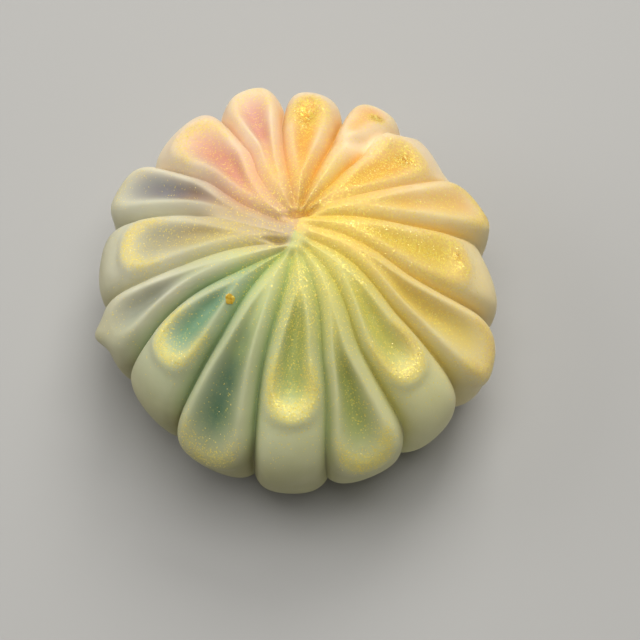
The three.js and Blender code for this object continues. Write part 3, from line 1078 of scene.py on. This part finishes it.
def paste_finish():
    bench = FinishBench("tinted bean paste")
    bowl, groove, down, dust = (bench.mark(word) for word in ("bowl", "groove", "down", "dust"))
    swirl = bench.noise(SWIRL_SIZE) - 0.5
    wander = bench.noise(WANDER_SIZE) - 0.5
    turn = bench.math("ARCTAN2", bench.mark("turn_sine"), bench.mark("turn_cosine")) / (2 * math.pi)
    turn = bench.math("FLOORED_MODULO", turn + swirl * TURN_SWIRL, 1.0)
    paste = paste_colour(bench, turn, bowl, groove, down, swirl, wander)

    # How much gold lies here: a film, a thick dab, and spangles painted bright as painted highlights
    grain = bench.noise(GRAIN_SIZE, GRAIN_DETAIL)
    film = (dust * FILM_DUST + (grain - 0.5) * FILM_GRAIN + wander * FILM_WANDER).smooth(*FILM_BEGINS)
    thick = (dust + wander * THICK_WANDER + (grain - 0.5)).smooth(*THICK_BEGINS)
    bright = bench.channel(bench.cells(SPANGLE_SIZE), "Green").smooth(*PAINTED_SPANGLE_HIGHLIGHTS)
    flake_colour = bench.cells(GLINT_SIZE)
    glint = bench.math("GREATER_THAN", dust * GLINT_CHANCE, bench.channel(flake_colour, "Red"))

    # The powder's own colour, with painted highlights of spangles and glints, laid over the paste
    near_left = toward(turn, LEMON_DUST_TURN).smooth(*LEMON_DUST_SPREAD)
    powder = bench.blend(near_left, opaque("gold"), opaque("lemon dust"))
    powder = bench.blend(thick, powder, opaque("deep gold"))
    # Painted highlights: random spangle cells painted brighter
    powder = bench.blend(bright * SPANGLE_HIGHLIGHT_SHARE, powder, opaque("glint"))
    cover = film * (COVER["film"] + COVER["thick"] * thick + COVER["bright"] * bright)
    dusted = bench.blend(cover, paste, powder)
    # Painted highlights: glint cells painted in the glint colour; their tilt, metal and roughness are real
    dusted = bench.blend(glint * GLINT_SHARE, dusted, opaque("glint"))

    metal = film * METAL["film"] + thick * METAL["thick"] + glint * METAL["glint"]
    rough = PASTE_ROUGHNESS + (grain - 0.5) * ROUGHER["grain"]
    rough = rough - film * ROUGHER["film"] - glint * ROUGHER["glint"]
    relief = bench.noise(DIMPLE_SIZE) * BUMP_DIMPLE + grain * BUMP_GRAIN * (1 + dust)
    bench.plug(bench.shader.inputs["Base Color"], dusted)
    bench.plug(bench.shader.inputs["Metallic"], metal)
    bench.plug(bench.shader.inputs["Roughness"], rough)
    bench.plug(bench.shader.inputs["Normal"], surface_direction(bench, flake_colour, glint, relief))
    bench.constants(TRANSLUCENCE)
    return bench.material


# %% [markdown]
# ## The body
#
# The tree runs once and its result is kept as a plain mesh. The far half is deeper than the near one and
# the petals are unequal, so the middle of the outline is a little off the axis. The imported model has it
# on the axis, so the body is moved there too.


# %% Make the body
def centre_on_axis(piece):
    """Moves the points so that the middle of the outline is on the z axis, and returns the size."""
    corners = [Vector(corner) for corner in piece.bound_box]
    low = Vector([min(corner[axis] for corner in corners) for axis in range(3)])
    high = Vector([max(corner[axis] for corner in corners) for axis in range(3)])
    for vertex in piece.data.vertices:
        vertex.co.x -= (low.x + high.x) / 2
        vertex.co.y -= (low.y + high.y) / 2
    return high - low


paste = paste_finish()
body = body_tree(paste).make("chrysanthemum_body")
bpy.data.objects.remove(card)
body_size = centre_on_axis(body)
print("body:", len(body.data.polygons), "faces,", [round(size / MM, 2) for size in body_size], "mm")
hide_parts(BODY_NODE)
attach(body, "root")

# %% [markdown]
# ## The flakes of the gold dust
#
# Lustre dust is made of flat flakes. Most are too small to see and are in the paste's finish as a film.
# The larger ones catch the light one by one, so they are real pieces here: thin discs with five sides,
# scattered where the body's dust mark says and tipped at random by up to about 30 degrees. The same tree
# with more sides would make sprinkles. The seed is fixed, so that each run scatters them in the same way.

# %% Flakes scattered on the body
FLAKES_PER_SQUARE_MM = 6.0
FLAKE_CROWDING = 1.5
FLAKE_SIDES = 5
FLAKE_RADIUS = 0.07
FLAKE_THICKNESS = 0.02
FLAKE_SIZES = (0.5, 1.5)
FLAKE_TILT = 0.5
FLAKE_SEED = 7
# The sockets of a Random Value node that belong to its vectors, by number
RANDOM_VECTOR = {"low": 0, "high": 1, "seed": 8}

GOLD_MOTTLE_SIZE = 0.3
GOLD_STOPS = (0.3, 0.7)
GOLD_SHEEN = {"Metallic": 0.3, "Roughness": 0.35}


def gold_finish(name, dark, bright):
    bench = FinishBench(name)
    stops = list(zip(GOLD_STOPS, (dark, bright)))
    bench.plug(bench.shader.inputs["Base Color"], bench.ramp(bench.noise(GOLD_MOTTLE_SIZE), stops))
    bench.constants(GOLD_SHEEN)
    return bench.material


def random_vector(bench, low, high, seed):
    sockets = {RANDOM_VECTOR["low"]: low, RANDOM_VECTOR["high"]: high, RANDOM_VECTOR["seed"]: seed}
    made = bench.add("FunctionNodeRandomValue", {"data_type": "FLOAT_VECTOR"}, sockets)
    return made.outputs["Value"]


def flake_tree(material):
    bench = ShapeBench("gold dust")
    dusted = bench.named_input("Dusted piece", "Object", body)
    crowding = bench.named_input("Flakes per square metre", "Float", FLAKES_PER_SQUARE_MM / MM**2)
    radius = bench.named_input("Flake radius", "Float", FLAKE_RADIUS * MM)
    thickness = bench.named_input("Flake thickness", "Float", FLAKE_THICKNESS * MM)
    seed = bench.named_input("Seed", "Int", FLAKE_SEED)
    dusted_info = bench.add("GeometryNodeObjectInfo", sockets={"Object": dusted})
    stored = bench.add("GeometryNodeInputNamedAttribute", {"data_type": "FLOAT"}, {"Name": "dust"})
    density = crowding * Reading(bench, stored.outputs["Attribute"]) ** FLAKE_CROWDING
    scattered = bench.add(
        "GeometryNodeDistributePointsOnFaces",
        {"distribute_method": "RANDOM"},
        {"Mesh": dusted_info.outputs["Geometry"], "Density": density, "Seed": seed},
    )

    # Each flake is turned freely about its own upright, tipped a little and scaled
    most_turned = (FLAKE_TILT, FLAKE_TILT, math.pi)
    least_turned = tuple(-angle for angle in most_turned)
    tilt = random_vector(bench, least_turned, most_turned, FLAKE_SEED + 1)
    sizes = random_vector(bench, (FLAKE_SIZES[0],) * 3, (FLAKE_SIZES[1],) * 3, FLAKE_SEED + 2)
    turned = bench.add("FunctionNodeEulerToRotation", sockets={"Euler": tilt})
    turned = bench.add(
        "FunctionNodeRotateRotation",
        {"rotation_space": "LOCAL"},
        {"Rotation": scattered.outputs["Rotation"], "Rotate By": turned.outputs["Rotation"]},
    )
    flake = bench.add(
        "GeometryNodeMeshCylinder",
        {"fill_type": "NGON"},
        {"Vertices": FLAKE_SIDES, "Radius": radius, "Depth": thickness},
    )
    placed = bench.add(
        "GeometryNodeInstanceOnPoints",
        sockets={
            "Points": scattered.outputs["Points"],
            "Instance": flake.outputs["Mesh"],
            "Rotation": turned.outputs["Rotation"],
            "Scale": sizes,
        },
    )
    bench.finish(placed.outputs["Instances"], material)
    return bench


gold = gold_finish("gold flakes", paint(234, 204, 100), paint(252, 242, 168))
flakes = flake_tree(gold).make("gold_dust")
print("gold dust:", len(flakes.data.polygons) // (FLAKE_SIDES + 2), "flakes")
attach(flakes, "root")

# %% [markdown]
# ## The fleck of gold leaf
#
# One crumb of gold leaf sits on the sea-green petal, about 10 mm from the crown. It is a closed lump,
# flattened and crumpled by noise, and it is laid on the paste by looking straight down at the body for
# its place. It is a deeper gold than the dust, because leaf is solid metal and not a powder.

# %% A crumb of gold leaf
FLECK_PLACE = (-7.5, -6.8)
FLECK_SIZE = (0.46, 0.58, 0.12)
FLECK_ROUNDNESS = 3
FLECK_CRUMPLE = 0.52
FLECK_CREASES = 1.5
FLECK_NOISE_START = Vector((3.0, 1.0, 2.0))
FLECK_PROUD = 0.3


def add_fleck(name, material):
    above = Vector((FLECK_PLACE[0] * MM, FLECK_PLACE[1] * MM, 2 * CROWN_HEIGHT * MM))
    hit, point, normal, _ = body.ray_cast(above, Vector((0, 0, -1)))
    if not hit:
        raise RuntimeError("the fleck's place is beside the sweet")
    shape = bmesh.new()
    bmesh.ops.create_icosphere(shape, subdivisions=FLECK_ROUNDNESS, radius=1.0)
    for vertex in shape.verts:
        crumple = noise.noise(vertex.co * FLECK_CREASES + FLECK_NOISE_START)
        vertex.co *= 1 + FLECK_CRUMPLE * crumple
        vertex.co = Vector(part * size * MM for part, size in zip(vertex.co, FLECK_SIZE))
    shape.transform(normal.to_track_quat("Z", "Y").to_matrix().to_4x4())
    shape.transform(Matrix.Translation(point + normal * FLECK_SIZE[2] * FLECK_PROUD * MM))
    mesh = bpy.data.meshes.new(name)
    shape.to_mesh(mesh)
    shape.free()
    mesh.materials.append(material)
    fleck = bpy.data.objects.new(name, mesh)
    bpy.context.collection.objects.link(fleck)
    return fleck


leaf_gold = gold_finish("gold leaf", paint(220, 170, 40), paint(252, 222, 96))
fleck = add_fleck("gold_leaf_fleck", leaf_gold)
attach(fleck, "root")
print("fleck of gold leaf:", len(fleck.data.polygons), "faces")

# %% [markdown]
# ## The camera
#
# The camera looks down steeply from the near side, as someone does who stands at the table. Its lens
# follows from how many pixels a millimetre of the sweet takes at that distance, and its aim from the
# pixel at which the sweet's middle is seen. Written in this way, the picture's framing is one measure and
# one place.

# %% The camera
CAMERA_ELEVATION = 66.5
CAMERA_DISTANCE = 260 * MM
FRAME_PIXELS = 640
PIXELS_PER_MM = 8.45
SWEET_MIDDLE_PIXEL = (297, 278)
SWEET_MIDDLE_HEIGHT = 14 * MM
SENSOR_WIDTH = 36.0
CLIP_START = 10 * MM


def add_camera():
    tilt = math.radians(CAMERA_ELEVATION)
    back = Vector((0, -math.cos(tilt), math.sin(tilt)))
    up = Vector((0, math.sin(tilt), math.cos(tilt)))
    right = Vector((1, 0, 0))
    middle = Vector((0, 0, SWEET_MIDDLE_HEIGHT))
    off_right = (FRAME_PIXELS / 2 - SWEET_MIDDLE_PIXEL[0]) / PIXELS_PER_MM * MM
    off_down = (FRAME_PIXELS / 2 - SWEET_MIDDLE_PIXEL[1]) / PIXELS_PER_MM * MM
    aim = middle + right * off_right - up * off_down
    data = bpy.data.cameras.new("camera")
    data.sensor_width = SENSOR_WIDTH
    data.lens = PIXELS_PER_MM * CAMERA_DISTANCE / MM * SENSOR_WIDTH / FRAME_PIXELS
    data.clip_start = CLIP_START
    camera = bpy.data.objects.new("camera", data)
    camera.location = middle + back * CAMERA_DISTANCE
    camera.rotation_euler = (aim - camera.location).to_track_quat("-Z", "Y").to_euler()
    bpy.context.collection.objects.link(camera)
    bpy.context.scene.camera = camera
    return camera


camera = add_camera()
print("lens", round(camera.data.lens, 1), "mm")

# %% [markdown]
# ## Light and floor
#
# The sweet lies in the soft light of a room: a window behind it to the right, a pale ceiling above and a
# weak return from the left. All three are wide areas, because a small lamp would cut hard shadows into
# the grooves. The floor is plain and pale, and takes no part in the sweet.

# %% The lights
# Each light's name, its place and width in metres, its watts and its colour
LIGHTS = [
    ("window_light", (0.14, 0.42, 0.44), 0.30, 1.8, (1.0, 0.98, 0.94)),
    ("ceiling_light", (0.04, 0.06, 0.60), 0.45, 2.25, (1.0, 0.98, 0.95)),
    ("side_light", (-0.40, 0.10, 0.25), 0.30, 0.56, (1.0, 0.98, 0.96)),
]
ROOM_COLOUR = (1.0, 0.98, 0.96, 1)
ROOM_STRENGTH = 0.15


def add_area_light(name, place, size, watts, colour):
    """A wide light that faces the sweet."""
    data = bpy.data.lights.new(name, "AREA")
    data.size = size
    data.energy = watts
    data.color = colour
    light = bpy.data.objects.new(name, data)
    light.location = place
    light.rotation_euler = (-Vector(place)).to_track_quat("-Z", "Y").to_euler()
    bpy.context.collection.objects.link(light)


for row in LIGHTS:
    add_area_light(*row)
bpy.context.scene.view_settings.view_transform = "Standard"

world = bpy.data.worlds.new("studio")
bpy.context.scene.world = world
world.use_nodes = True
room = world.node_tree.nodes["Background"].inputs
room["Color"].default_value = ROOM_COLOUR
room["Strength"].default_value = ROOM_STRENGTH
print(len(LIGHTS), "lights,", round(sum(watts for _, _, _, watts, _ in LIGHTS), 2), "W in all")

# %% The floor
FLOOR_SIZE = 3
FLOOR_COLOUR = (0.445, 0.445, 0.435, 1)
FLOOR_ROUGHNESS = 0.8

bpy.ops.mesh.primitive_plane_add(size=FLOOR_SIZE)
floor = bpy.context.object
floor.name = "floor"
floor_material = bpy.data.materials.new("pale floor")
floor_material.use_nodes = True
floor_shader = floor_material.node_tree.nodes["Principled BSDF"]
floor_shader.inputs["Base Color"].default_value = FLOOR_COLOUR
floor_shader.inputs["Roughness"].default_value = FLOOR_ROUGHNESS
floor.data.materials.append(floor_material)
print("floor", FLOOR_SIZE, "m wide")
